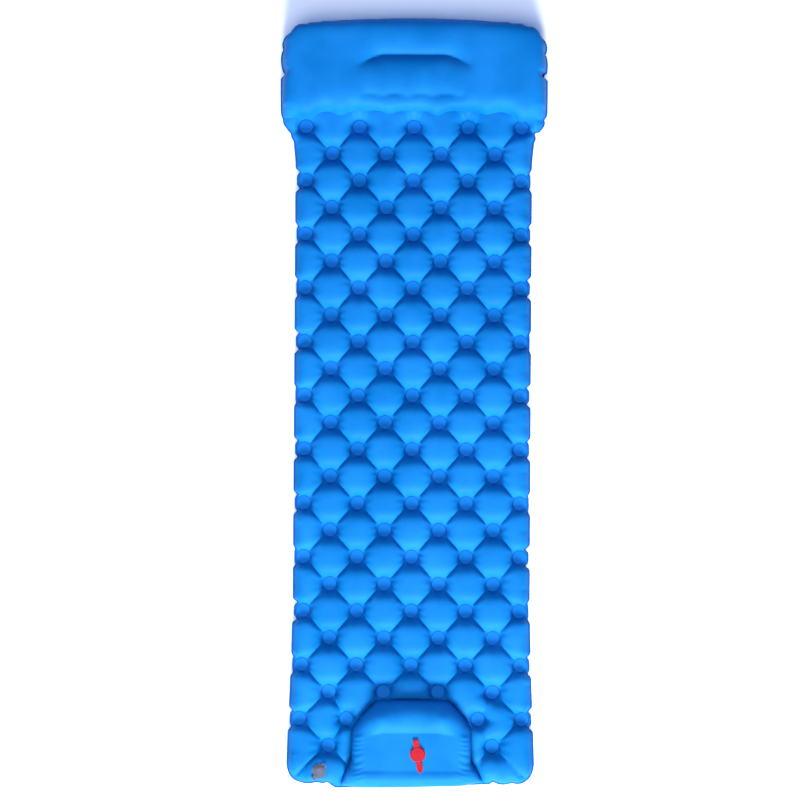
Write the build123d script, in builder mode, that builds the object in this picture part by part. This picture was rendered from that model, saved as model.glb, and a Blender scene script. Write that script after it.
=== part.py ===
"""Inflatable camping mat with a built-in pillow, a foam foot pump and two valves.

Millimetres. X runs across the mat, +Y towards the pillow, +Z up. The origin is
the centre of the footprint, on the ground.
"""

from build123d import *
import os
from math import cos, radians, sin

os.makedirs("parts", exist_ok=True)

# Mat: two coated sheets, welded round the edge and at the dots.
mat_length = 1900.0
mat_height = 56.0
waist_half = 292.0
foot_half = 305.0
head_half = 330.0
seam_height = mat_height / 2
seam_width = 8.0
seam_layer = 0.6
skin = 1.0
side_slope = 16.0
head_y = mat_length / 2
foot_y = -mat_length / 2
foot_corner = 60.0
head_corner = 72.0
waist_foot_y = -500.0
shoulder = 50.0

# Quincunx of weld dots, from the pillow to the foot.
dot_pitch_x = 134.0
dot_pitch_y = 66.3
dot_rows = 24
first_row_y = 680.0
dot_radius = 18.0
dimple_taper = 20.0

# Pillow on the head end of the mat, held down by two inner ties.
pillow_front_y = 712.0
pillow_back_y = 922.0
pillow_half = 298.0
pillow_top = 105.0
pillow_slope = 34.0
pillow_corner = 40.0
vent_radius = 10.0
vent_half_spacing = 100.0
rear_tie_y = 845.0
front_tie_y = 762.0
tie_half = 140.0
tie_height = 30.0

# Foot pump: a raised cover over a foam block, with a stiffer tread plate.
pump_rear_y = -742.0
pump_front_y = -936.0
pump_half = 152.0
pump_corner = 14.0
pump_knee = 50.0
plate_rear_y = -806.0
plate_front_y = -898.0
plate_half = 139.0
plate_bottom = 84.0
plate_thick = 1.0
plate_gap = 0.3
foam_bottom = 1.5
foam_margin = 16.0
foam_gap = 1.0
foam_well_radius = 20.0

# Intake valve on the tread plate: its tab points a little off the mat's axis.
intake_x = 18.0
intake_y = -858.0
intake_turn = -81.0
intake_bore = 12.0
intake_neck = 14.0
intake_flange = 19.0
intake_depth = 9.0
intake_disc = 17.5
intake_plug = 6.5
intake_hinge = 33.0
intake_hole = 2.6
intake_flap_radius = 11.5
tether_width = 14.0
tether_root = 2.0
tab_end = 45.0
tab_half_width = 7.8
tab_thick = 2.0
tab_root = 1.0
grip_half_length = 7.0
grip_half_width = 3.0
grip_shift = 2.0
grip_depth = 0.8

# Release valve on the foot corner: a base, a stopper in it and a cap in that.
release_x = -223.0
release_y = -905.0
release_turn = 52.0
release_bore = 11.5
release_neck = 13.5
release_flange = 17.5
release_depth = 8.0
stopper_disc = 13.2
stopper_hinge = 20.5
stopper_bore = 7.6
stopper_depth = 2.5
stopper_thick = 1.5
stopper_strap_width = 9.0
loop_centre = 17.5
loop_half_length = 6.5
loop_half_width = 5.5
slot_half_length = 3.8
slot_half_width = 2.4
release_cap_disc = 9.4
release_cap_thick = 1.8
release_cap_plug = 4.0
release_cap_taper = 10.0
release_cap_hinge = 11.4
release_strap_width = 6.0
release_strap_root = 1.0
release_tab_length = 6.0
release_tab_width = 7.0
release_tab_corner = 2.0
release_flap_radius = 6.8

# One-way outlet in the pump's rear wall.
outlet_height = 39.0
outlet_neck = 9.0
outlet_flange = 10.5
outlet_flap_radius = 7.5

# Details that the valves share.
flange_thick = 1.2
neck_rise = 3.5
lid_gap = 0.2
lid_thick = 2.5
lid_round = 0.9
plug_taper = 8.0
grid_thick = 1.4
grid_ring = 0.6
grid_count = 6
grid_hole = 1.6
flap_thick = 0.8
flap_gap = 0.2
flap_tail = 1.0
fit_gap = 0.3
hinge_radius = 1.0
strap_thick = 1.2
post_length = 3.6
cut_margin = 1.0


def save(piece, label):
    """Label a finished piece and write it."""
    piece.part.label = label
    export_step(piece.part, f"parts/{label}.step")


def outline(height, inset=0.0):
    """Plan of the mat: wide at the pillow, a long waist, rounded corners."""
    with BuildSketch(Plane.XY.offset(height)) as plan:
        with BuildLine():
            Line((0, foot_y), (foot_half - foot_corner, foot_y))
            RadiusArc(
                (foot_half - foot_corner, foot_y),
                (foot_half, foot_y + foot_corner),
                -foot_corner,
            )
            Polyline(
                (foot_half, foot_y + foot_corner),
                (waist_half, waist_foot_y),
                (waist_half, pillow_front_y - shoulder),
                (head_half, pillow_front_y),
            )
            Line((head_half, pillow_front_y), (head_half, head_y - head_corner))
            RadiusArc(
                (head_half, head_y - head_corner),
                (head_half - head_corner, head_y),
                -head_corner,
            )
            Line((head_half - head_corner, head_y), (0, head_y))
            mirror(about=Plane.YZ)
        make_face()
        if inset:
            offset(amount=-inset, kind=Kind.INTERSECTION)
    return plan.sketch


def dot_centres():
    """Weld dots of the quincunx, but for those that the pump takes up."""
    centres = []
    for row in range(dot_rows):
        columns = (-1, 0, 1) if row % 2 == 0 else (-1.5, -0.5, 0.5, 1.5)
        y = first_row_y - row * dot_pitch_y
        for column in columns:
            x = column * dot_pitch_x
            if y > pump_rear_y or abs(x) > pump_half + dot_radius:
                centres.append((x, y))
    return centres


def inflated_half(wall):
    """Upper half of the mat inside a wall, less the dimple over each dot."""
    floor = seam_height if wall else seam_height + seam_layer
    with BuildPart() as half:
        add(outline(seam_height, seam_width + wall))
        add(outline(mat_height - wall, seam_width + side_slope + wall))
        loft()
        with BuildSketch(Plane.XY.offset(floor)):
            with Locations(*dot_centres()):
                Circle(dot_radius + wall)
        extrude(amount=seam_height, taper=-dimple_taper, mode=Mode.SUBTRACT)
    return half.part


def sheet():
    """One coated sheet: its domed skin, dimples and the flat seam round it."""
    with BuildPart() as shell:
        add(inflated_half(0.0))
        add(outline(seam_height))
        extrude(amount=seam_layer)
        add(inflated_half(skin), mode=Mode.SUBTRACT)
    return shell.part


def rectangle(height, half, front, rear, corner):
    """Rounded rectangle across the mat's centre line."""
    with BuildSketch(Plane.XY.offset(height)) as plan:
        with Locations((0, (front + rear) / 2)):
            RectangleRounded(2 * half, rear - front, corner)
    return plan.sketch


def pump_body(inset, bottom, top):
    """Pump: upright to its knee, then sloping in to the tread plate."""
    corner = pump_corner - min(inset, pump_corner / 2)
    front = pump_front_y + inset
    rear = pump_rear_y - inset
    top_front = plate_front_y + inset
    top_rear = plate_rear_y - inset
    with BuildPart() as body:
        add(rectangle(bottom, pump_half - inset, front, rear, corner))
        extrude(amount=pump_knee - bottom)
        add(rectangle(pump_knee, pump_half - inset, front, rear, corner))
        add(rectangle(top, plate_half - inset, top_front, top_rear, corner))
        loft()
    return body.part


def pillow_body(wall):
    """Pillow: a low block with sloping sides."""
    base = mat_height
    top = pillow_top - wall
    half = pillow_half - wall
    front = pillow_front_y + wall
    back = pillow_back_y - wall
    top_half = half - pillow_slope
    top_front = front + pillow_slope
    top_back = back - pillow_slope
    with BuildPart() as body:
        add(rectangle(base, half, front, back, pillow_corner))
        add(rectangle(top, top_half, top_front, top_back, pillow_corner))
        loft()
    return body.part


def valve_plane(x, y, height, turn):
    """Seat of a valve: X points from its tether to its pull tab."""
    tab = (cos(radians(turn)), sin(radians(turn)), 0)
    return Plane(origin=(x, y, height), x_dir=tab, z_dir=(0, 0, 1))


def across(seat, x, height):
    """Plane across the valve's X, at a hinge line."""
    corner = seat.from_local_coords(Vector(x, 0, height))
    return Plane(origin=corner, x_dir=seat.x_dir, z_dir=-seat.y_dir)


def hinge_post(seat, hinge, height, base, width):
    """Post with a saddle that a lid's rounded tether end turns in."""
    with BuildPart() as post:
        with BuildSketch(seat.offset(base)):
            with Locations((-hinge, 0)):
                Rectangle(post_length, width, align=(Align.MAX, Align.CENTER))
        extrude(amount=height - base)
        with BuildSketch(across(seat, -hinge, height)):
            Circle(hinge_radius + fit_gap)
        extrude(amount=width, both=True, mode=Mode.SUBTRACT)
    return post.part


def tether(seat, hinge, height, reach, width):
    """Strap from a lid to its hinge line, with a rounded end."""
    with BuildPart() as strap:
        with BuildSketch(seat.offset(height - strap_thick / 2)):
            with Locations((-hinge, 0)):
                Rectangle(hinge - reach, width, align=(Align.MIN, Align.CENTER))
        extrude(amount=strap_thick)
        with BuildSketch(across(seat, -hinge, height)):
            Circle(hinge_radius)
        extrude(amount=width / 2, both=True)
    return strap.part


def grid_holes(seat, height, thick, bore, hole):
    """Ring of air holes through a valve's floor, inside its bore."""
    with BuildPart() as holes:
        with BuildSketch(seat.offset(height)):
            with PolarLocations(grid_ring * bore, grid_count):
                Circle(hole)
        extrude(amount=thick)
    return holes.part


def flap(seat, height, radius):
    """Soft membrane under a grid, with a tail and a bead along its hinge line."""
    tail = radius + flap_tail
    with BuildPart() as membrane:
        with BuildSketch(seat.offset(height)):
            Circle(radius)
            with Locations((-tail, 0)):
                Rectangle(radius, radius, align=(Align.MIN, Align.CENTER))
        extrude(amount=flap_thick)
        with BuildSketch(across(seat, -tail, height + flap_thick / 2)):
            Circle(flap_thick / 2)
        extrude(amount=radius / 2, both=True)
    return membrane


# Sheets.
with BuildPart() as upper_panel:
    add(sheet())
    opening_front = pump_front_y - plate_gap
    opening_rear = pump_rear_y + plate_gap
    add(rectangle(seam_height, pump_half + plate_gap, opening_front, opening_rear, pump_corner))
    extrude(amount=seam_height + cut_margin, mode=Mode.SUBTRACT)
    with BuildSketch(Plane.XY.offset(mat_height - skin - cut_margin)):
        with Locations((release_x, release_y)):
            Circle(release_neck + fit_gap)
        with Locations((0, rear_tie_y)):
            with GridLocations(2 * vent_half_spacing, 0.0, 2, 1):
                Circle(vent_radius)
    extrude(amount=skin + 2 * cut_margin, mode=Mode.SUBTRACT)
save(upper_panel, "upper_panel")

with BuildPart() as lower_panel:
    add(sheet())
    mirror(about=Plane.XY.offset(seam_height), mode=Mode.REPLACE)
save(lower_panel, "lower_panel")

# Pillow.
with BuildPart() as pillow_cover:
    add(pillow_body(0.0))
    add(pillow_body(skin), mode=Mode.SUBTRACT)
save(pillow_cover, "pillow_cover")

for tie_name, tie_y in (("pillow_rear_tie", rear_tie_y), ("pillow_front_tie", front_tie_y)):
    with BuildPart() as tie:
        with BuildSketch(Plane.XY.offset(mat_height)):
            with Locations((0, tie_y)):
                Rectangle(2 * tie_half, skin)
        extrude(amount=tie_height)
    save(tie, tie_name)

# Foot pump.
outlet_seat = Plane(
    origin=(0, pump_rear_y, outlet_height), x_dir=(0, 0, -1), z_dir=(0, -1, 0)
)

with BuildPart() as pump_wall:
    add(pump_body(0.0, seam_height + seam_layer, plate_bottom - plate_gap))
    add(pump_body(skin, seam_height + seam_layer, plate_bottom - plate_gap), mode=Mode.SUBTRACT)
    with BuildSketch(outlet_seat.offset(-cut_margin)):
        Circle(outlet_neck + fit_gap)
    extrude(amount=skin + 2 * cut_margin, mode=Mode.SUBTRACT)
save(pump_wall, "pump_wall")

intake_seat = valve_plane(intake_x, intake_y, plate_bottom + plate_thick, intake_turn)

with BuildPart() as pump_tread:
    add(rectangle(plate_bottom, plate_half, plate_front_y, plate_rear_y, pump_corner))
    extrude(amount=plate_thick)
    with BuildSketch(Plane.XY.offset(plate_bottom)):
        with Locations((intake_x, intake_y)):
            Circle(intake_neck + fit_gap)
    extrude(amount=plate_thick, mode=Mode.SUBTRACT)
save(pump_tread, "pump_tread")

with BuildPart() as pump_foam:
    add(pump_body(foam_margin, foam_bottom, plate_bottom - foam_gap))
    with BuildSketch(Plane.XY.offset(foam_bottom)):
        with Locations((intake_x, intake_y)):
            Circle(foam_well_radius)
    extrude(amount=plate_bottom, mode=Mode.SUBTRACT)
save(pump_foam, "pump_foam")

# One-way outlet: its grid stands in the wall, its flap inside the mat.
with BuildPart() as outlet_grid:
    with BuildSketch(outlet_seat.offset(skin + plate_gap)):
        Circle(outlet_flange)
    extrude(amount=flange_thick)
    with BuildSketch(outlet_seat):
        Circle(outlet_neck)
    extrude(amount=skin + plate_gap)
    add(grid_holes(outlet_seat, 0.0, 2 * skin + flange_thick, outlet_neck, grid_hole), mode=Mode.SUBTRACT)
save(outlet_grid, "outlet_grid")

outlet_flap = flap(outlet_seat, -flap_gap - flap_thick, outlet_flap_radius)
save(outlet_flap, "outlet_flap")

# Intake valve.
lid_bottom = neck_rise + lid_gap
lid_hinge_height = lid_bottom + hinge_radius

with BuildPart() as intake_base:
    with BuildSketch(intake_seat):
        Circle(intake_flange)
        with Locations((-intake_hinge - post_length, 0)):
            Rectangle(intake_hinge, tether_width, align=(Align.MIN, Align.CENTER))
    extrude(amount=flange_thick)
    with BuildSketch(intake_seat.offset(-intake_depth)):
        Circle(intake_neck)
    extrude(amount=intake_depth + neck_rise)
    with BuildSketch(intake_seat.offset(grid_thick - intake_depth)):
        Circle(intake_bore)
    extrude(amount=intake_depth + neck_rise, mode=Mode.SUBTRACT)
    add(grid_holes(intake_seat, -intake_depth, grid_thick, intake_bore, intake_hole), mode=Mode.SUBTRACT)
    add(hinge_post(intake_seat, intake_hinge, lid_hinge_height, flange_thick, tether_width))
save(intake_base, "intake_valve_base")

tab_middle = (intake_disc + tab_end) / 2
tab_half_length = (tab_end - intake_disc) / 2 + tab_root

with BuildPart() as intake_cap:
    with BuildSketch(intake_seat.offset(lid_bottom)):
        Circle(intake_disc)
    extrude(amount=lid_thick)
    fillet(intake_cap.edges().sort_by(Axis.Z)[-1], lid_round)
    with BuildSketch(intake_seat.offset(lid_bottom)):
        Circle(intake_bore - fit_gap)
    extrude(amount=-intake_plug, taper=plug_taper)
    with BuildSketch(intake_seat.offset(lid_bottom)):
        with Locations((tab_middle - tab_root, 0)):
            Ellipse(tab_half_length, tab_half_width)
    extrude(amount=tab_thick)
    with BuildSketch(intake_seat.offset(lid_bottom + tab_thick)):
        with Locations((tab_middle + grip_shift, 0)):
            Ellipse(grip_half_length, grip_half_width)
    extrude(amount=-grip_depth, mode=Mode.SUBTRACT)
    add(tether(intake_seat, intake_hinge, lid_hinge_height, intake_disc - tether_root, tether_width))
save(intake_cap, "intake_valve_cap")

intake_flap = flap(intake_seat, -intake_depth - flap_gap - flap_thick, intake_flap_radius)
save(intake_flap, "intake_flap")

# Release valve.
release_seat = valve_plane(release_x, release_y, mat_height, release_turn)
cap_bottom = lid_bottom + stopper_thick + lid_gap
cap_hinge_height = cap_bottom + hinge_radius

with BuildPart() as release_base:
    with BuildSketch(release_seat):
        Circle(release_flange)
        with Locations((-stopper_hinge - post_length, 0)):
            Rectangle(stopper_hinge, stopper_strap_width, align=(Align.MIN, Align.CENTER))
    extrude(amount=flange_thick)
    with BuildSketch(release_seat.offset(-release_depth)):
        Circle(release_neck)
    extrude(amount=release_depth + neck_rise)
    with BuildSketch(release_seat.offset(-release_depth)):
        Circle(release_bore)
    extrude(amount=release_depth + neck_rise, mode=Mode.SUBTRACT)
    add(hinge_post(release_seat, stopper_hinge, lid_hinge_height, flange_thick, stopper_strap_width))
save(release_base, "release_valve_base")

with BuildPart() as release_stopper:
    with BuildSketch(release_seat.offset(lid_bottom)):
        Circle(stopper_disc)
        with Locations((loop_centre, 0)):
            Ellipse(loop_half_length, loop_half_width)
            Ellipse(slot_half_length, slot_half_width, mode=Mode.SUBTRACT)
    extrude(amount=stopper_thick)
    with BuildSketch(release_seat.offset(lid_bottom)):
        Circle(release_bore - fit_gap)
    extrude(amount=-lid_bottom - stopper_depth, taper=plug_taper)
    with BuildSketch(release_seat.offset(grid_thick - stopper_depth)):
        Circle(stopper_bore)
    extrude(amount=stopper_depth + cap_bottom, mode=Mode.SUBTRACT)
    add(grid_holes(release_seat, -stopper_depth, grid_thick, stopper_bore, grid_hole), mode=Mode.SUBTRACT)
    stopper_root = stopper_disc - release_strap_root
    add(tether(release_seat, stopper_hinge, lid_hinge_height, stopper_root, stopper_strap_width))
    post_base = cap_bottom - lid_gap
    add(hinge_post(release_seat, release_cap_hinge, cap_hinge_height, post_base, release_strap_width))
save(release_stopper, "release_valve_stopper")

with BuildPart() as release_cap:
    with BuildSketch(release_seat.offset(cap_bottom)):
        Circle(release_cap_disc)
        with Locations((release_cap_disc, 0)):
            RectangleRounded(release_tab_length, release_tab_width, release_tab_corner)
    extrude(amount=release_cap_thick)
    with BuildSketch(release_seat.offset(cap_bottom)):
        Circle(stopper_bore - fit_gap)
    extrude(amount=-release_cap_plug, taper=release_cap_taper)
    cap_root = release_cap_disc - release_strap_root
    add(tether(release_seat, release_cap_hinge, cap_hinge_height, cap_root, release_strap_width))
save(release_cap, "release_valve_cap")

release_flap = flap(release_seat, -stopper_depth - flap_gap - flap_thick, release_flap_radius)
save(release_flap, "release_flap")
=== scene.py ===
"""Inflatable camping mat: coated fabric skins by cloth simulation, valves and studio.

Metres, in the CAD's frame: X across, +Y towards the pillow, +Z up.
"""

import math

import bpy
import numpy as np
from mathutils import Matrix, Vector
from mathutils.geometry import delaunay_2d_cdt


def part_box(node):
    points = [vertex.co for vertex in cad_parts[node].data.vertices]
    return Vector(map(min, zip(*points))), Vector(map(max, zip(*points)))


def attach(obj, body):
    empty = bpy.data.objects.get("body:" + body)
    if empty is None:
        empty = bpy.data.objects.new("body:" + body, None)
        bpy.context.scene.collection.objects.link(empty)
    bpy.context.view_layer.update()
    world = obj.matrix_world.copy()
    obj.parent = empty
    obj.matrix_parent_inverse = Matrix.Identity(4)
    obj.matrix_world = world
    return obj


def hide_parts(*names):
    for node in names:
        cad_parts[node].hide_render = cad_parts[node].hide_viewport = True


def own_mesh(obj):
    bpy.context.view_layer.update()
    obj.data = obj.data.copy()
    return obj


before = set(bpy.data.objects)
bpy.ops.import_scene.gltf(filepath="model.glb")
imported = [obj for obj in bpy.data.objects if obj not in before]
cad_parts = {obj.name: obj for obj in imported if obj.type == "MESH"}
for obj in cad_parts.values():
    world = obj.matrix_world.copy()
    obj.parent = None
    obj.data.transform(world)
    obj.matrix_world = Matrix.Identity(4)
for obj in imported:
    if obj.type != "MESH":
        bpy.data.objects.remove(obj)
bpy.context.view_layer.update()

# ---------------------------------------------------------------- dimensions
SHEET_LOW, SHEET_HIGH = (Vector(c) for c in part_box("upper_panel"))
PLATE_LOW, PLATE_HIGH = (Vector(c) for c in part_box("pump_tread"))
FOAM_LOW, FOAM_HIGH = (Vector(c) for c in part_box("pump_foam"))
FOOT_Y, HEAD_Y = SHEET_LOW.y, SHEET_HIGH.y
HEAD_HALF = SHEET_HIGH.x
SEAM_Z = SHEET_LOW.z
MAT_Z = SHEET_HIGH.z

# Plan of the mat: half widths, corner radii, and how far the end edges bow out.
WAIST_HALF = 0.292
FOOT_HALF = 0.305
WAIST_FOOT_Y = -0.50
FOOT_CORNER = 0.060
HEAD_CORNER = 0.072
HEAD_ARCH = 0.012
FOOT_ARCH = 0.002
FOOT_STRAIGHT = 0.245
HEAD_STRAIGHT = 0.258

# Weld dots, in staggered rows from the pillow to the foot.
DOT_PITCH_X = 0.134
DOT_PITCH_Y = 0.0663
DOT_ROWS = 24
FIRST_ROW_Y = 0.680
DOT_RADIUS = 0.018
WELD_RIM = 0.89
EDGE_DOT_X = 0.266
DOTS_BESIDE_PUMP_X = (-0.158, 0.166)
ODD_ROW_OUTER_X = 0.172

# Cloth: length over the flat plan, in general and along the valleys between dots.
SLACK = 1.12
VALLEY_SLACK = 1.018
VALLEY_WIDTH = 0.007
UNEVENNESS = 0.012

# Profile of the upper cells: fuller than the simulated one, flat on top.
CELL_FULLNESS = 1.6
CELL_ROOM = 0.033
CELL_TOP = 0.029

SEAM_WIDTH = 0.0035
SEAM_INNER = 0.0025
SEAM_STEP = 0.004
SEAM_LIFT = 0.0007
FOLD_ANGLE = 48

# Scallops of the seam, at both ends of each edge dot.
SCALLOP_AT = 0.021
SCALLOP_WIDTH = 0.0055
SCALLOP_DEPTH = 0.0078
EDGE_DOT_PULL = 0.0035
PUCKER_DEPTH = 0.0065
FOOT_PULL = 0.010
NOTCH_DEPTH = 0.007

PILLOW_FRONT_Y = 0.722
PILLOW_TOP = 0.102
PILLOW_CEILING = PILLOW_TOP + 0.002
PILLOW_FULLNESS = 1.8
PILLOW_DIPS = (-0.255, -0.181, -0.059, 0.057, 0.178, 0.262)
TIE_HALF = 0.136
REAR_TIE_Y = 0.850
FORE_TIE_Y = 0.7515

PUMP_REAR_Y = -0.733
PUMP_HALF = 0.147
PUMP_CORNER_X = 0.086
TREAD_X = 0.003
TREAD_HALF = 0.124
FOAM_GAP = 0.006
WELL_RADIUS = 0.021
WELL_DEPTH = 0.032

RELEASE = Vector((-0.223, -0.905, MAT_Z - 0.0006))
RELEASE_PAD = 0.0185
VALVE = Vector((0.018, -0.858, PLATE_HIGH.z))
VALVE_HOLE = 0.0145

FLOOR_Z = -0.0004
FLOOR_HALF = 40.0
CAMERA_DISTANCE = 5.48
CAMERA_TILT = 0.8
CAMERA_ROLL = 0.35

# Simulation: mesh size, steps, air push, damping, and resistance to crumpling and bending.
SPACING = 0.0055
STEPS = 160
PUSH = 0.00001
DAMPING = 0.95
PASSES = 5
CRUMPLE = 0.003
BEND = 0.006


# ------------------------------------------------------------------ outline
def arc(centre, radius, start, end, count):
    """Points round a corner, angles in degrees."""
    turns = np.radians(np.linspace(start, end, count))
    return [(centre[0] + radius * math.cos(t), centre[1] + radius * math.sin(t)) for t in turns]


def plan_half():
    """Right half of the mat's plan, from the foot's middle to the head's middle."""
    foot_x = np.linspace(0, FOOT_HALF - FOOT_CORNER, 12)
    foot = [(x, FOOT_Y + FOOT_ARCH * (x / FOOT_STRAIGHT) ** 2) for x in foot_x]
    corner = arc((FOOT_HALF - FOOT_CORNER, FOOT_Y + FOOT_ARCH + FOOT_CORNER), FOOT_CORNER, -85, 0, 8)
    side = [
        (WAIST_HALF + 0.004, -0.66),
        (WAIST_HALF, WAIST_FOOT_Y),
        (WAIST_HALF, 0.590),
        (WAIST_HALF + 0.005, 0.644),
        (WAIST_HALF + 0.013, 0.655),
        (HEAD_HALF - 0.004, 0.684),
        (HEAD_HALF, 0.720),
    ]
    top = arc((HEAD_HALF - HEAD_CORNER, HEAD_Y - HEAD_ARCH - HEAD_CORNER), HEAD_CORNER, 0, 84, 9)
    head = [(x, HEAD_Y - HEAD_ARCH * (x / HEAD_STRAIGHT) ** 2) for x in np.linspace(0.25, 0, 12)]
    return np.array(foot + corner + side + top + head)


def resampled(points, step):
    """The same line with evenly spaced points."""
    gaps = np.linalg.norm(np.diff(points, axis=0), axis=1)
    along = np.concatenate([[0], np.cumsum(gaps)])
    at = np.linspace(0, along[-1], max(2, round(along[-1] / step) + 1))
    return np.stack([np.interp(at, along, points[:, k]) for k in range(2)], axis=1)


def perimeter(step):
    """Closed ring of the seam's outer edge and its outward normals."""
    right = resampled(plan_half(), step)
    left = right[::-1][1:-1] * [-1, 1]
    ring = np.concatenate([right, left])
    ahead = np.roll(ring, -1, axis=0) - np.roll(ring, 1, axis=0)
    normal = np.stack([ahead[:, 1], -ahead[:, 0]], axis=1)
    return ring, normal / np.linalg.norm(normal, axis=1)[:, None]


def scallop(ring):
    """How far the seam pulls in: at the ends of each edge dot, at the foot and in the head's puckers."""
    x, y = ring[:, 0], ring[:, 1]
    row = np.round((FIRST_ROW_Y - y) / (2 * DOT_PITCH_Y))
    away = np.abs(y - (FIRST_ROW_Y - row * 2 * DOT_PITCH_Y))
    unevenness = 0.75 + 0.45 * np.sin(row * 2.4 + np.sign(x) * 1.3)
    top = FIRST_ROW_Y + 0.035
    side = (np.abs(x) > 0.27) & (y < top) & (y > FOOT_Y + 0.13)
    fade = np.clip((top - y) / 0.03, 0, 1)
    pull = SCALLOP_DEPTH * unevenness * np.exp(-(((away - SCALLOP_AT) / SCALLOP_WIDTH) ** 2))
    dot_pull = EDGE_DOT_PULL / (1 + np.exp((away - SCALLOP_AT) / 0.002))
    pull = np.where(side, (pull + dot_pull) * fade, 0.0)
    angle = np.arctan2(y - (HEAD_Y - HEAD_CORNER - HEAD_ARCH), np.abs(x) - (HEAD_HALF - HEAD_CORNER))
    pucker = PUCKER_DEPTH * (1 - np.abs(np.sin(angle * 4.6 + np.sign(x) * 0.3)) ** 0.6)
    lean = np.clip((x + 0.18) / 0.37, 0, 1)
    corner_cells = np.clip((np.abs(x) - 0.185) / 0.015, 0, 1)
    foot_pull = FOOT_PULL * np.maximum(lean, corner_cells)
    foot_pull += 0.004 * np.exp(-(((np.abs(x) - 0.205) / 0.006) ** 2))
    foot_pull += 0.0015 * np.sin(x * 130) * corner_cells
    foot_pull *= np.clip((0.292 - np.abs(x)) / 0.04, 0, 1)
    pull = np.where(y < FOOT_Y + 0.05, foot_pull, pull)
    at_head = (np.abs(x) > HEAD_HALF - HEAD_CORNER - 0.02) & (y > HEAD_Y - 0.15)
    pull = np.where(at_head, pull + pucker, pull)
    notch = NOTCH_DEPTH * np.exp(-(((y - (HEAD_Y - 0.142)) / 0.004) ** 2))
    return pull + np.where(np.abs(x) > 0.31, notch, 0.0)


def dots():
    """Centres of the weld dots, as in the CAD, and of the half dots on the edges."""
    inner, edge = [], []
    for row in range(DOT_ROWS):
        even = row % 2 == 0
        y = FIRST_ROW_Y - row * DOT_PITCH_Y
        for column in (-1, 0, 1) if even else (-1.5, -0.5, 0.5, 1.5):
            x = column * DOT_PITCH_X
            if y > PUMP_REAR_Y or abs(x) > ODD_ROW_OUTER_X:
                inner.append((x, y))
        if even:
            reach = EDGE_DOT_X + max(0.0, -0.55 - y) * 0.035
            edge += [(-reach, y), (reach, y)]
    pump_row = FIRST_ROW_Y - 22 * DOT_PITCH_Y
    inner += [(x, pump_row) for x in DOTS_BESIDE_PUMP_X]
    return np.array(inner), np.array(edge)


def valleys(centres):
    """Lines between neighbouring dots, where the fabric is held taut and low."""
    lines = []
    for k, a in enumerate(centres):
        for b in centres[k + 1 :]:
            reach = np.abs(b - a)
            if 0.04 < reach[0] < 0.085 and 0.04 < reach[1] < 0.085:
                ahead = (b - a) / np.linalg.norm(b - a)
                lines.append((a + ahead * DOT_RADIUS, b - ahead * DOT_RADIUS))
    last = FIRST_ROW_Y - (DOT_ROWS - 1) * DOT_PITCH_Y
    for side in (-1, 1):
        dot = np.array([1.5 * DOT_PITCH_X * side, last])
        for end in ((0.284 * side, -0.922), (0.003 + 0.156 * side, -0.893)):
            ahead = (end - dot) / np.linalg.norm(end - dot)
            lines.append((dot + ahead * DOT_RADIUS, np.array(end)))
    return np.array(lines)


def to_lines(points, lines):
    """Distance from each point to the nearest line, that line, and how far along it."""
    best = np.full(len(points), np.inf)
    which = np.zeros(len(points), int)
    share = np.zeros(len(points))
    for k, (a, b) in enumerate(lines):
        near = np.flatnonzero(np.abs(points - (a + b) / 2).max(1) < 0.08)
        along = np.clip((points[near] - a) @ (b - a) / ((b - a) @ (b - a)), 0, 1)
        gap = np.linalg.norm(points[near] - a - along[:, None] * (b - a), axis=1)
        closer = gap < best[near]
        best[near[closer]] = gap[closer]
        which[near[closer]] = k
        share[near[closer]] = along[closer]
    return best, which, share


# ------------------------------------------------------------------- meshes
def circle(centre, radius, count):
    """Points round a whole circle."""
    return np.array(arc(centre, radius, 0, 360, count + 1)[:-1])


def inside(points, ring):
    """Which points lie inside a closed ring."""
    hit = np.zeros(len(points), bool)
    x, y = points[:, 0], points[:, 1]
    for (ax, ay), (bx, by) in zip(ring, np.roll(ring, -1, axis=0)):
        if ay == by:
            continue
        crosses = (ay > y) != (by > y)
        hit ^= crosses & (x < (bx - ax) * (y - ay) / (by - ay) + ax)
    return hit


def nearest(points, others):
    """Distance from each point to the nearest of the others."""
    best = np.full(len(points), np.inf)
    for start in range(0, len(points), 4000):
        block = points[start : start + 4000]
        gap = block[:, None, :] - others[None, :, :]
        best[start : start + 4000] = np.sqrt((gap**2).sum(2).min(1))
    return best


def hex_grid(ring, spacing):
    """Even triangular grid over the ring's box."""
    low, high = ring.min(0), ring.max(0)
    rise = spacing * math.sqrt(3) / 2
    rows = []
    for j, y in enumerate(np.arange(low[1] + rise / 2, high[1], rise)):
        x = np.arange(low[0] + spacing * (0.25 + 0.5 * (j % 2)), high[0], spacing)
        rows.append(np.stack([x, np.full(len(x), y)], axis=1))
    return np.concatenate(rows)


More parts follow.
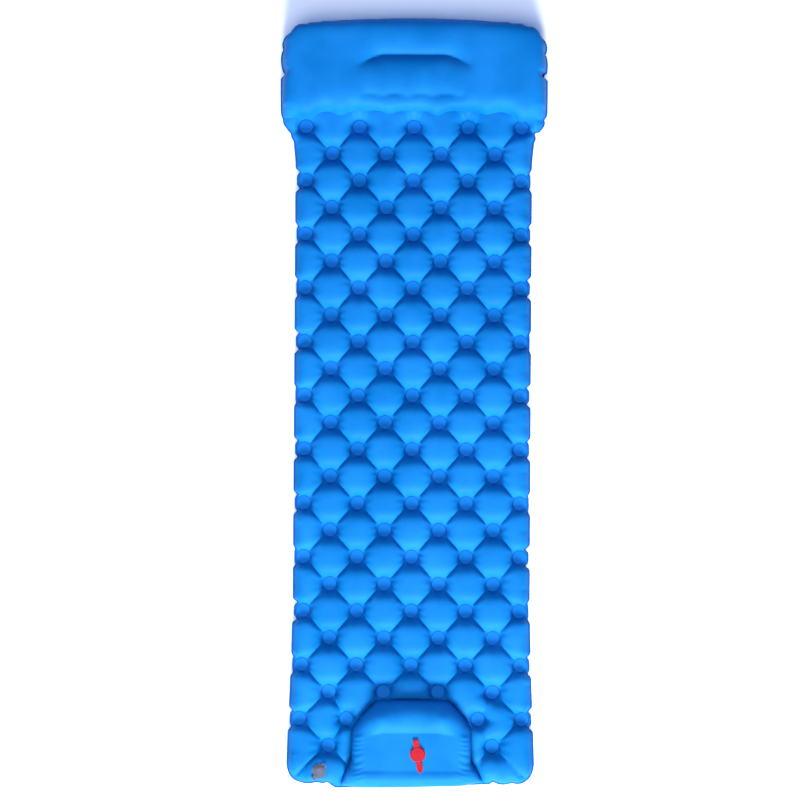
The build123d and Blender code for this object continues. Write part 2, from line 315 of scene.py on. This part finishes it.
def triangulated(ring, spacing, discs=(), lines=()):
    """Flat mesh inside a ring, with exact rings round the discs and points on the lines."""
    fixed = [np.array(line) for line in lines]
    for centre in discs:
        for share, count in ((1.0, 24), (WELD_RIM, 24), (0.6, 12), (0.25, 5)):
            turns = np.linspace(0, 2 * math.pi, count, endpoint=False)
            fixed.append(centre + share * DOT_RADIUS * np.stack([np.cos(turns), np.sin(turns)], axis=1))
    fixed = np.concatenate(fixed) if fixed else np.zeros((0, 2))
    if len(fixed):
        fixed = fixed[inside(fixed, ring) & (nearest(fixed, ring) > 0.4 * spacing)]
    grid = hex_grid(ring, spacing)
    grid = grid[inside(grid, ring) & (nearest(grid, ring) > 0.6 * spacing)]
    if len(discs):
        grid = grid[nearest(grid, np.array(discs)) > DOT_RADIUS + 0.5 * spacing]
    if len(lines):
        grid = grid[nearest(grid, np.concatenate([np.array(line) for line in lines])) > 0.6 * spacing]
    points = np.concatenate([ring, fixed, grid])
    border = [(k, (k + 1) % len(ring)) for k in range(len(ring))]
    flat, _, faces, _, _, _ = delaunay_2d_cdt([Vector(p) for p in points], border, [], 1, 1e-7)
    flat = np.array([(p.x, p.y) for p in flat])
    faces = np.array(faces)
    a, b, c = (flat[faces[:, k]] for k in range(3))
    turned = (b - a)[:, 0] * (c - a)[:, 1] - (b - a)[:, 1] * (c - a)[:, 0] < 0
    faces[turned] = faces[turned][:, ::-1]
    return flat, faces


def links(faces):
    """Edges, and the pairs of points across them, of a triangle mesh."""
    sides = np.concatenate([faces[:, [0, 1]], faces[:, [1, 2]], faces[:, [2, 0]]])
    across = np.concatenate([faces[:, 2], faces[:, 0], faces[:, 1]])
    sides = np.sort(sides, axis=1)
    order = np.lexsort((sides[:, 1], sides[:, 0]))
    sides, across = sides[order], across[order]
    same = (sides[1:] == sides[:-1]).all(1)
    edges = np.unique(sides, axis=0)
    bends = np.stack([across[:-1][same], across[1:][same]], axis=1)
    return edges, bends


def coloured(pairs, count):
    """Splits the pairs into groups that share no point."""
    used = [set() for _ in range(count)]
    groups = []
    for index, (a, b) in enumerate(pairs.tolist()):
        colour = 0
        while colour in used[a] or colour in used[b]:
            colour += 1
        used[a].add(colour)
        used[b].add(colour)
        if colour == len(groups):
            groups.append([])
        groups[colour].append(index)
    return [np.array(group) for group in groups]


def taut(points, pairs, lines):
    """Shorter cloth along the valley lines, and small unevenness: a factor for each pair."""
    if lines is None:
        return 1.0
    middle = (points[pairs[:, 0], :2] + points[pairs[:, 1], :2]) / 2
    uneven = 1 + UNEVENNESS * np.sin(middle[:, 0] * 19 + middle[:, 1] * 7) * np.sin(middle[:, 1] * 23)
    gap, which, _ = to_lines(middle, lines)
    ahead = lines[which, 1] - lines[which, 0]
    ahead /= np.linalg.norm(ahead, axis=1)[:, None]
    side = points[pairs[:, 1], :2] - points[pairs[:, 0], :2]
    side /= np.linalg.norm(side, axis=1)[:, None] + 1e-12
    aligned = (side * ahead).sum(1) ** 2
    return uneven * (1 - (1 - VALLEY_SLACK / SLACK) * aligned * np.exp(-((gap / VALLEY_WIDTH) ** 2)))


def inflate(start, faces, rest_of, pinned, push, steps, ceiling=None, lines=None):
    """Cloth simulation: a skin that hardly stretches, pushed out by air along its normals.

    rest_of gives the flat cloth's point for each start point, so longer cloth has slack.
    The skin resists stretch fully and crumpling a little. Pinned points stay.
    """
    edges, bends = links(faces)
    rest = np.linalg.norm(rest_of[edges[:, 0]] - rest_of[edges[:, 1]], axis=1)
    bend_rest = np.linalg.norm(rest_of[bends[:, 0]] - rest_of[bends[:, 1]], axis=1)
    rest *= taut(start, edges, lines)
    bend_rest *= taut(start, bends, lines)
    free = np.where(pinned, 0.0, 1.0)
    rules = []
    for pairs, length, pull, shove in ((edges, rest, 1.0, CRUMPLE), (bends, bend_rest, 0.0, BEND)):
        movable = free[pairs[:, 0]] + free[pairs[:, 1]] > 0
        pairs, length = pairs[movable], length[movable]
        for group in coloured(pairs, len(start)):
            a, b = pairs[group, 0], pairs[group, 1]
            share = free[a] + free[b]
            rules.append((a, b, length[group], free[a] / share, free[b] / share, pull, shove))
    area = np.linalg.norm(
        np.cross(start[faces[:, 1]] - start[faces[:, 0]], start[faces[:, 2]] - start[faces[:, 0]]), axis=1
    ).mean()
    x = start.copy()
    last = x.copy()
    corners = faces.ravel()
    for _ in range(steps):
        normal = np.cross(x[faces[:, 1]] - x[faces[:, 0]], x[faces[:, 2]] - x[faces[:, 0]])
        normal = np.repeat(normal, 3, axis=0)
        force = np.stack([np.bincount(corners, normal[:, k], len(x)) for k in range(3)], axis=1)
        drift = DAMPING * (x - last)
        last = x.copy()
        x = x + free[:, None] * (drift + push * force / area)
        for _ in range(PASSES):
            for a, b, length, share_a, share_b, pull, shove in rules:
                gap = x[b] - x[a]
                size = np.linalg.norm(gap, axis=1) + 1e-12
                stretch = size - length
                fix = (np.where(stretch > 0, pull, shove) * stretch / size)[:, None] * gap
                x[a] += share_a[:, None] * fix
                x[b] -= share_b[:, None] * fix
        if ceiling is not None:
            x[:, 2] = np.minimum(x[:, 2], ceiling)
    return x


def smoothed(points, faces, chosen, passes):
    """Evens out the chosen points: each moves halfway to the mean of its neighbours."""
    edges, _ = links(faces)
    both = np.concatenate([edges, edges[:, ::-1]])
    count = np.maximum(np.bincount(both[:, 0], minlength=len(points)), 1)[:, None]
    for _ in range(passes):
        total = [np.bincount(both[:, 0], points[both[:, 1], k], len(points)) for k in range(3)]
        total = np.stack(total, axis=1)
        points = np.where(chosen[:, None], (points + total / count) / 2, points)
    return points


def mesh_object(name, points, faces, materials, smooth=True):
    """A mesh from points and faces, with its materials."""
    mesh = bpy.data.meshes.new(name)
    mesh.from_pydata(np.asarray(points).tolist(), [], np.asarray(faces).tolist())
    mesh.update()
    if smooth:
        mesh.shade_smooth()
        mesh.set_sharp_from_angle(angle=math.radians(FOLD_ANGLE))
    for material in materials:
        mesh.materials.append(material)
    piece = bpy.data.objects.new(name, mesh)
    bpy.context.scene.collection.objects.link(piece)
    return piece


# ---------------------------------------------------------------- materials
def shader(name):
    """New node material: its node tree and its Principled shader."""
    material = bpy.data.materials.new(name)
    material.use_nodes = True
    return material, material.node_tree, material.node_tree.nodes["Principled BSDF"]


def link(tree, a, out, b, into):
    tree.links.new(a.outputs[out], b.inputs[into])


def coated_fabric(name, colour, roughness, weave=0.0009, tint=0.10, emboss=0.0):
    """Coated nylon: a fine plain weave under a satin film, with faint mottling."""
    material, tree, bsdf = shader(name)
    nodes = tree.nodes
    place = nodes.new("ShaderNodeTexCoord")
    cloud = nodes.new("ShaderNodeTexNoise")
    cloud.inputs["Scale"].default_value = 9.0
    cloud.inputs["Detail"].default_value = 4.0
    link(tree, place, "Object", cloud, "Vector")
    ramp = nodes.new("ShaderNodeValToRGB")
    low = [c * (1 - tint) for c in colour]
    high = [min(1.0, c * (1 + tint) + 0.004) for c in colour]
    ramp.color_ramp.elements[0].position = 0.35
    ramp.color_ramp.elements[1].position = 0.68
    ramp.color_ramp.elements[0].color = (*low, 1)
    ramp.color_ramp.elements[1].color = (*high, 1)
    link(tree, cloud, "Fac", ramp, "Fac")
    link(tree, ramp, "Color", bsdf, "Base Color")
    threads = []
    for direction in ("X", "Y"):
        wave = nodes.new("ShaderNodeTexWave")
        wave.bands_direction = direction
        wave.inputs["Scale"].default_value = 0.314 / weave
        wave.inputs["Distortion"].default_value = 0.6
        wave.inputs["Detail"].default_value = 1.0
        link(tree, place, "Object", wave, "Vector")
        threads.append(wave)
    both = nodes.new("ShaderNodeMath")
    both.operation = "MAXIMUM"
    tree.links.new(threads[0].outputs["Fac"], both.inputs[0])
    tree.links.new(threads[1].outputs["Fac"], both.inputs[1])
    weave_bump = nodes.new("ShaderNodeBump")
    weave_bump.inputs["Strength"].default_value = 0.16 + emboss
    weave_bump.inputs["Distance"].default_value = 0.0003
    link(tree, both, "Value", weave_bump, "Height")
    creases = nodes.new("ShaderNodeTexNoise")
    creases.inputs["Scale"].default_value = 42.0
    creases.inputs["Detail"].default_value = 3.0
    link(tree, place, "Object", creases, "Vector")
    crease_bump = nodes.new("ShaderNodeBump")
    crease_bump.inputs["Strength"].default_value = 0.10
    crease_bump.inputs["Distance"].default_value = 0.0015
    link(tree, creases, "Fac", crease_bump, "Height")
    link(tree, weave_bump, "Normal", crease_bump, "Normal")
    link(tree, crease_bump, "Normal", bsdf, "Normal")
    spread = nodes.new("ShaderNodeMapRange")
    spread.inputs["To Min"].default_value = roughness - 0.05
    spread.inputs["To Max"].default_value = roughness + 0.07
    link(tree, cloud, "Fac", spread, "Value")
    link(tree, spread, "Result", bsdf, "Roughness")
    bsdf.inputs["IOR"].default_value = 1.14
    bsdf.inputs["Specular IOR Level"].default_value = 0.5
    return material


def moulded(name, colour, roughness, transmission=0.0, tint=0.12):
    """Soft moulded plastic: faint flow marks and fine surface grain."""
    material, tree, bsdf = shader(name)
    nodes = tree.nodes
    place = nodes.new("ShaderNodeTexCoord")
    flow = nodes.new("ShaderNodeTexNoise")
    flow.inputs["Scale"].default_value = 90.0
    flow.inputs["Detail"].default_value = 3.0
    link(tree, place, "Object", flow, "Vector")
    ramp = nodes.new("ShaderNodeValToRGB")
    ramp.color_ramp.elements[0].position = 0.3
    ramp.color_ramp.elements[1].position = 0.75
    ramp.color_ramp.elements[0].color = (*[c * (1 - tint) for c in colour], 1)
    ramp.color_ramp.elements[1].color = (*[min(1.0, c * (1 + tint) + 0.001) for c in colour], 1)
    link(tree, flow, "Fac", ramp, "Fac")
    link(tree, ramp, "Color", bsdf, "Base Color")
    grain = nodes.new("ShaderNodeTexNoise")
    grain.inputs["Scale"].default_value = 1400.0
    link(tree, place, "Object", grain, "Vector")
    bump = nodes.new("ShaderNodeBump")
    bump.inputs["Strength"].default_value = 0.12
    bump.inputs["Distance"].default_value = 0.0002
    link(tree, grain, "Fac", bump, "Height")
    link(tree, bump, "Normal", bsdf, "Normal")
    bsdf.inputs["Roughness"].default_value = roughness
    bsdf.inputs["Transmission Weight"].default_value = transmission
    bsdf.inputs["IOR"].default_value = 1.48
    bsdf.inputs["Specular IOR Level"].default_value = 0.12
    return material


def foam(name, colour):
    """Open-cell foam: pale, with pores."""
    material, tree, bsdf = shader(name)
    nodes = tree.nodes
    place = nodes.new("ShaderNodeTexCoord")
    cells = nodes.new("ShaderNodeTexVoronoi")
    cells.inputs["Scale"].default_value = 420.0
    link(tree, place, "Object", cells, "Vector")
    ramp = nodes.new("ShaderNodeValToRGB")
    ramp.color_ramp.elements[0].color = (*[c * 0.6 for c in colour], 1)
    ramp.color_ramp.elements[1].color = (*colour, 1)
    ramp.color_ramp.elements[1].position = 0.6
    link(tree, cells, "Distance", ramp, "Fac")
    link(tree, ramp, "Color", bsdf, "Base Color")
    bump = nodes.new("ShaderNodeBump")
    bump.inputs["Strength"].default_value = 0.6
    bump.inputs["Distance"].default_value = 0.001
    link(tree, cells, "Distance", bump, "Height")
    link(tree, bump, "Normal", bsdf, "Normal")
    bsdf.inputs["Roughness"].default_value = 0.9
    return material


BLUE = (0.001, 0.130, 0.385)
FABRIC = coated_fabric("mat_fabric", BLUE, 0.56)
# Weld dots are painted lighter than the fabric to offset the shade they sit in: painted light over the same
# coated nylon.
WELD_WITH_PAINTED_LIFT = coated_fabric("weld_fabric_painted_lift", (0.002, 0.148, 0.460), 0.62, weave=0.0016, emboss=0.12)
# Darker blue for the faces at each weld dot's rim: painted shade of the crease round the dot.
WELD_SHADE_RING = coated_fabric("weld_rim_painted_shade", (0.001, 0.070, 0.30), 0.6)
# The seam is real welded fabric, coloured darker than the mat as painted shade from the skin bulging over
# it.
SEAM_SHADED = coated_fabric("seam_fabric_painted_shade", (0.002, 0.070, 0.30), 0.6, weave=0.0012, emboss=0.3)
INNER = coated_fabric("inner_fabric", (0.02, 0.20, 0.60), 0.6)
RED = moulded("red_valve", (0.33, 0.0006, 0.009), 0.3)
CLEAR = moulded("clear_valve", (0.075, 0.088, 0.145), 0.2, transmission=0.2)
SILICONE = moulded("flap_silicone", (0.70, 0.72, 0.75), 0.45, transmission=0.2)
FOAM = foam("pump_foam", (0.78, 0.76, 0.70))


# ------------------------------------------------------------------- studio
def aim(piece, target):
    piece.rotation_euler = (Vector(target) - piece.location).to_track_quat("-Z", "Y").to_euler()


def studio():
    """Pale floor, soft light from the foot side, camera almost straight above."""
    scene = bpy.context.scene
    floor_material, _, bsdf = shader("floor")
    bsdf.inputs["Base Color"].default_value = (0.95, 0.95, 0.95, 1)
    bsdf.inputs["Roughness"].default_value = 0.9
    turns = ((-1, -1), (1, -1), (1, 1), (-1, 1))
    floor_corners = [(x * FLOOR_HALF, y * FLOOR_HALF, FLOOR_Z) for x, y in turns]
    floor = mesh_object("floor", floor_corners, [(0, 1, 2, 3)], [floor_material], False)
    world = bpy.data.worlds.new("studio")
    scene.world = world
    world.use_nodes = True
    sky = world.node_tree.nodes["Background"]
    sky.inputs["Color"].default_value = (0.22, 0.43, 1.0, 1)
    sky.inputs["Strength"].default_value = 0.62
    for name, place, size, power in (
        ("key", (0.6, -7.5, 4.2), 4.2, 2140.0),
        ("top", (-0.6, -0.8, 4.0), 3.0, 115.0),
    ):
        lamp = bpy.data.lights.new(name, "AREA")
        lamp.shape = "DISK"
        lamp.size = size
        lamp.energy = power
        lamp_object = bpy.data.objects.new(name, lamp)
        lamp_object.location = place
        aim(lamp_object, (0, 0, 0))
        scene.collection.objects.link(lamp_object)
    camera = bpy.data.cameras.new("camera")
    camera.lens = 100.0
    camera.sensor_width = 36.0
    camera_object = bpy.data.objects.new("camera", camera)
    scene.collection.objects.link(camera_object)
    tilt = math.radians(CAMERA_TILT)
    centre = Vector((-0.030, 0.006, 0.03))
    camera_object.location = centre + CAMERA_DISTANCE * Vector((0.0, -math.sin(tilt), math.cos(tilt)))
    camera_object.rotation_euler = (tilt, 0.0, math.radians(CAMERA_ROLL))
    scene.camera = camera_object
    scene.view_settings.view_transform = "Standard"


studio()

# --------------------------------------------------------------------- mat
INNER_DOTS, EDGE_DOTS = dots()
ALL_DOTS = np.concatenate([INNER_DOTS, EDGE_DOTS])
VALLEYS = valleys(ALL_DOTS)


def skin_ring(step):
    """Edge of the inflated skin: the plan less the seam and its scallops."""
    ring, normal = perimeter(step)
    pull = SEAM_WIDTH + scallop(ring)
    return ring - normal * pull[:, None], normal


def pump_ring(grow=0.0):
    """Plan of the pump: cut rear corners, sides that flare to the foot seam."""
    corners = np.array(
        [
            (-0.176, FOOT_Y + 0.006),
            (0.184, FOOT_Y + 0.015),
            (PUMP_HALF, -0.878),
            (PUMP_HALF, -0.797),
            (PUMP_CORNER_X + 0.010, PUMP_REAR_Y),
            (-PUMP_CORNER_X, PUMP_REAR_Y),
            (-PUMP_HALF + 0.004, -0.801),
            (-PUMP_HALF + 0.004, -0.873),
        ]
    )
    middle = corners.mean(0)
    return corners + grow * (corners - middle) / np.linalg.norm(corners - middle, axis=1)[:, None]


def dome(points, ring, height, reach):
    """Start height over a flat skin: rises from its edge and levels off."""
    edge = np.clip(nearest(points, ring) / reach, 0, 1)
    return height * np.sqrt(1 - (1 - edge) ** 2)


def sheet_skin(upper):
    """One inflated sheet of the mat: its points and faces."""
    spacing = SPACING if upper else SPACING * 1.7
    ring, _ = skin_ring(spacing)
    creases = [resampled(np.array(line), spacing)[1:-1] for line in VALLEYS]
    if upper:
        creases.append(circle(RELEASE, VALVE_HOLE, 24))
    flat, faces = triangulated(ring, spacing, ALL_DOTS, creases)
    to_dot = nearest(flat, ALL_DOTS)
    welded = to_dot < DOT_RADIUS * 1.02
    rim = np.zeros(len(flat), bool)
    rim[: len(ring)] = True
    pinned = welded | rim
    gap, _, along = to_lines(flat, VALLEYS)
    lift = 0.004 + dome(flat, np.concatenate([ring, ALL_DOTS]), 0.006, 0.03)
    pad = np.hypot(flat[:, 0] - RELEASE.x, flat[:, 1] - RELEASE.y)
    if upper:
        lift += (RELEASE.z - SEAM_Z - lift) * 0.8 * np.clip(1 - (pad - RELEASE_PAD) / 0.03, 0, 1)
    lift = np.minimum(lift, 0.006 * np.sin(math.pi * along) + 0.6 * gap)
    height = np.where(pinned, SEAM_LIFT, SEAM_LIFT + lift)
    if upper:
        pump = inside(flat, pump_ring()) & ~rim
        under = (flat[:, 1] > PILLOW_FRONT_Y + 0.012) & ~rim
        pinned |= pump | under
        height = np.where(pump, SEAM_LIFT + 0.002, height)
        height = np.where(under, SEAM_LIFT + np.minimum(0.012, 0.3 * nearest(flat, ring)), height)
        on_pad = pad < RELEASE_PAD
        pinned |= on_pad
        height = np.where(on_pad, RELEASE.z - SEAM_Z, height)
        middle = flat[faces].mean(1)
        in_valve = np.hypot(middle[:, 0] - RELEASE.x, middle[:, 1] - RELEASE.y) < VALVE_HOLE
        faces = faces[~inside(middle, pump_ring(-0.008)) & ~in_valve]
    start = np.column_stack([flat, height])
    rest = np.column_stack([flat * SLACK, height * 1.1])
    ceiling = None if upper else MAT_Z - SEAM_Z
    result = inflate(start, faces, rest, pinned, PUSH, STEPS if upper else STEPS * 3 // 4, ceiling, VALLEYS)
    beside = nearest(flat, ring) < 0.012
    if upper:
        beside |= nearest(flat, resampled(pump_ring(), spacing)) < 0.016
    result = smoothed(result, faces, beside & ~pinned, 4)
    by_pillow = (flat[:, 1] > 0.64) & (np.abs(flat[:, 0]) > 0.2)
    result = smoothed(result, faces, by_pillow & (gap > 0.002) & ~pinned, 3)
    if upper:
        full = CELL_TOP * (1 - (1 - np.clip(result[:, 2] / CELL_ROOM, 0, 1)) ** CELL_FULLNESS)
        keep = np.clip(1 - (pad - RELEASE_PAD) / 0.02, 0, 1)
        result[:, 2] = keep * result[:, 2] + (1 - keep) * full
    return result, faces, welded


def add_sheet(upper):
    """The upper or the lower sheet as a piece, with its weld dots marked and a darker ring painted round
    each dot's rim as shade of the crease there.
    """
    points, faces, welded = sheet_skin(upper)
    used, faces = np.unique(faces, return_inverse=True)
    faces = faces.reshape(-1, 3)
    points, welded = points[used], welded[used]
    points[:, 2] = SEAM_Z + points[:, 2] if upper else SEAM_Z - points[:, 2]
    if not upper:
        faces = faces[:, ::-1]
    name = "upper_skin" if upper else "lower_skin"
    piece = mesh_object(name, points, faces, [FABRIC, WELD_WITH_PAINTED_LIFT, WELD_SHADE_RING])
    weld_face = welded[faces].all(1)
    to_dot = nearest(points[faces].mean(1)[:, :2], ALL_DOTS)
    # Faces at the rim of each weld dot take the darker colour, a painted-shade outline.
    weld_shade_ring = weld_face & (to_dot > (WELD_RIM - 0.03) * DOT_RADIUS)
    piece.data.polygons.foreach_set("material_index", weld_face.astype(np.int32) + weld_shade_ring)
    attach(piece, "mat")
    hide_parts("upper_panel" if upper else "lower_panel")
    return piece


add_sheet(True)
add_sheet(False)


def add_seam():
    """Welded seam round the mat: a flat, faintly wavy rim, its fabric coloured dark as painted shade."""
    ring, normal = skin_ring(SEAM_STEP)
    count = len(ring)
    along = np.arange(count) * SEAM_STEP
    wave = 0.0008 * np.sin(along * 95) + 0.0006 * np.sin(along * 41 + 1)
    profile = (
        (-SEAM_INNER, 0.0011),
        (SEAM_WIDTH - 0.001, 0.0009),
        (SEAM_WIDTH, 0.0),
        (SEAM_WIDTH - 0.001, -0.0009),
        (-SEAM_INNER, -0.0011),
    )
    points = []
    for out, up in profile:
        edge = ring + normal * out
        bend = wave * max(0.0, out) / SEAM_WIDTH
        points.append(np.column_stack([edge, SEAM_Z + up + bend]))
    points = np.concatenate(points)
    faces = []
    for level in range(len(profile)):
        above = (level + 1) % len(profile)
        for k in range(count):
            nxt = (k + 1) % count
            faces.append((level * count + k, level * count + nxt, above * count + nxt, above * count + k))
    piece = mesh_object("edge_seam", points, faces, [SEAM_SHADED])
    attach(piece, "mat")
    return piece


add_seam()


# ------------------------------------------------------------------- pillow
def pillow_front(x):
    """Front edge of the pillow: dips between the bulges and drops at the sides."""
    edge = 0.717 - 0.033 * np.clip(np.abs(x) / 0.325, 0, 1) ** 5
    for k, dip in enumerate(PILLOW_DIPS):
        edge = edge - (0.008 + 0.004 * (k % 2)) * np.exp(-(((x - dip) / 0.020) ** 2))
    return edge


def add_pillow():
    """Raised pillow: a tight tube across the head, with two hollows and puckered corners."""
    spacing = SPACING
    outer, _ = skin_ring(spacing)
    back = outer[outer[:, 1] > pillow_front(outer[:, 0]) + 0.003]
    angle = np.argsort(np.arctan2(back[:, 1] - 0.5, back[:, 0]))
    back = back[angle]
    front_x = np.linspace(back[-1, 0], back[0, 0], round((back[0, 0] - back[-1, 0]) / spacing))[1:-1]
    front_y = pillow_front(front_x)
    ring = np.concatenate([back, np.column_stack([front_x, front_y])])
    hollow_x = np.arange(-TIE_HALF, TIE_HALF + 0.0001, 0.8 * spacing)
    bend = np.clip((np.abs(hollow_x) - 0.072) / 0.062, 0, 1) ** 1.7
    rear_line = np.column_stack([hollow_x, REAR_TIE_Y - 0.027 * bend])
    fore_line = np.column_stack([hollow_x * 0.9, FORE_TIE_Y + 0.002 * np.sin(hollow_x * 90)])
    flat, faces = triangulated(ring, spacing, (), (rear_line, fore_line))
    rim = np.zeros(len(flat), bool)
    rim[: len(ring)] = True
    front = pillow_front(flat[:, 0])
    depth = (flat[:, 1] - front) / (HEAD_Y - SEAM_WIDTH - front)
    across = np.clip(np.abs(flat[:, 0]) / HEAD_HALF, 0, 1)
    rise = (1 - np.clip(np.abs(2 * depth - 1), 0, 1) ** 3.4) ** (1 / 2.4)
    rise *= (1 - across**9) ** (1 / 2.6)
    along_front = np.clip((HEAD_HALF - 0.03 - np.abs(flat[:, 0])) / 0.11, 0, 1)
    on_front = (np.abs(flat[:, 1] - front) < 0.002) * rim
    base = SEAM_Z + SEAM_LIFT + 0.001 + on_front * 0.012 * along_front
    height = np.where(rim, base, SEAM_Z + (PILLOW_TOP - 0.008 - SEAM_Z) * rise)
    start = np.column_stack([flat, height])
    rest = start * [1.03, 1.055, 1.02]
    ends = 1 - np.clip((np.abs(flat[:, 0]) - 0.09) / 0.056, 0, 1) ** 1.5
    rear = nearest(flat, rear_line) < 0.0004
    fore = nearest(flat, fore_line) < 0.0004
    start[rear, 2] = (PILLOW_TOP - 0.008 - 0.026 * ends)[rear]
    start[fore, 2] = (PILLOW_TOP - 0.014 - 0.010 * ends)[fore]
    result = inflate(start, faces, rest, rim | rear | fore, PUSH, STEPS, PILLOW_CEILING)
    result = smoothed(result, faces, ~(rim | rear | fore), 2)
    corner = np.hypot(np.abs(flat[:, 0]) - 0.308, flat[:, 1] - 0.698) < 0.036
    result = smoothed(result, faces, corner & ~rim, 16)
    room = PILLOW_CEILING - SEAM_Z
    risen = np.clip((result[:, 2] - SEAM_Z) / room, 0, 1)
    result[:, 2] = SEAM_Z + room * (1 - (1 - risen) ** PILLOW_FULLNESS)
    piece = mesh_object("pillow_skin", result, faces, [FABRIC])
    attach(piece, "mat")
    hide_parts("pillow_cover")
    return piece


add_pillow()


# --------------------------------------------------------------------- pump
def add_pump():
    """Raised pump cover: rolled edges round the flat tread, over the foam."""
    spacing = SPACING * 0.7
    corners = pump_ring()
    ring = resampled(np.concatenate([corners, corners[:1]]), spacing)[:-1]
    flat, faces = triangulated(ring, spacing, (), (circle(VALVE, VALVE_HOLE, 32),))
    rim = np.zeros(len(flat), bool)
    rim[: len(ring)] = True
    x, y = flat[:, 0] - TREAD_X, flat[:, 1]
    half = TREAD_HALF - 0.05 * np.clip((y - PLATE_HIGH.y + 0.022) / 0.022, 0, 1) ** 2
    tread = (np.abs(x) < half) & (y > PLATE_LOW.y - 0.003) & (y < PLATE_HIGH.y + 0.002)
    top = PLATE_HIGH.z + 0.0004
    base = SEAM_Z + SEAM_LIFT + 0.003
    to_rim = nearest(flat, ring)
    to_tread = nearest(flat, flat[tread])
    share = to_rim / np.maximum(to_rim + to_tread, 1e-9)
    rear = np.clip((y - PLATE_HIGH.y) / 0.03, 0, 1)
    fore = np.clip((PLATE_LOW.y - y) / 0.02, 0, 1)
    roll = 0.007 + 0.020 * rear + 0.009 * fore
    rise = 1 - (1 - share) ** 2.4
    height = base + (top - base) * rise + roll * np.sin(math.pi * share**1.3)
    height = np.where(tread, top, height)
    start = np.column_stack([flat, height])
    result = inflate(start, faces, start * 1.012, rim | tread, PUSH, STEPS // 2)
    result = smoothed(result, faces, ~(rim | tread), 4)
    beside = np.exp(-(((np.abs(x) - 0.128) / 0.011) ** 2)) * np.clip((-0.80 - y) / 0.02, 0, 1)
    result[:, 2] += 0.0011 * beside * ~rim * np.sin(y * 470 + np.abs(x) * 160 + 2 * np.sin(y * 90))
    middle = flat[faces].mean(1)
    in_valve = np.hypot(middle[:, 0] - VALVE.x, middle[:, 1] - VALVE.y) < VALVE_HOLE
    used, cover = np.unique(faces[~in_valve], return_inverse=True)
    piece = mesh_object("pump_skin", result[used], cover.reshape(-1, 3), [FABRIC])
    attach(piece, "mat")
    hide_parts("pump_wall", "pump_tread")
    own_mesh(piece)
    return result, faces, len(ring)


def add_foam(skin, faces, rim_count):
    """Foam block under the tread, shaped to the cover, with a well for the valve."""
    middle = Vector((0, (PUMP_REAR_Y + FOOT_Y) / 2))
    top = skin.copy()
    top[:, 0] *= 0.93
    top[:, 1] = middle.y + 0.88 * (top[:, 1] - middle.y)
    top[:, 2] = np.minimum(top[:, 2] - FOAM_GAP, FOAM_HIGH.z - 0.0005)
    well = np.hypot(top[:, 0] - VALVE.x, top[:, 1] - VALVE.y) < WELL_RADIUS
    top[well, 2] -= WELL_DEPTH
    foot = top[:rim_count].copy()
    foot[:, :2] = [0, middle.y] + 0.985 * (foot[:, :2] - [0, middle.y])
    foot[:, 2] = FOAM_LOW.z
    hub = np.array([[0, middle.y, FOAM_LOW.z]])
    points = np.concatenate([top, foot, hub])
    first, last = len(top), len(points) - 1
    sides = []
    for k in range(rim_count):
        nxt = (k + 1) % rim_count
        sides += [(k, first + k, first + nxt), (k, first + nxt, nxt), (first + nxt, first + k, last)]
    piece = mesh_object("foam_block", points, np.concatenate([faces, sides]), [FOAM])
    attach(piece, "mat")
    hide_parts("pump_foam")
    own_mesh(piece)


add_foam(*add_pump())


# ------------------------------------------------------------- CAD materials
def dress(node, material):
    """Gives a CAD node that stays shown its own material."""
    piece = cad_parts[node]
    piece.data.materials.clear()
    piece.data.materials.append(material)


for node in ("intake_valve_base", "intake_valve_cap"):
    dress(node, RED)
for node in ("release_valve_base", "release_valve_stopper", "release_valve_cap", "outlet_grid"):
    dress(node, CLEAR)
for node in ("intake_flap", "outlet_flap", "release_flap"):
    dress(node, SILICONE)
for node in ("pillow_rear_tie", "pillow_front_tie"):
    dress(node, INNER)
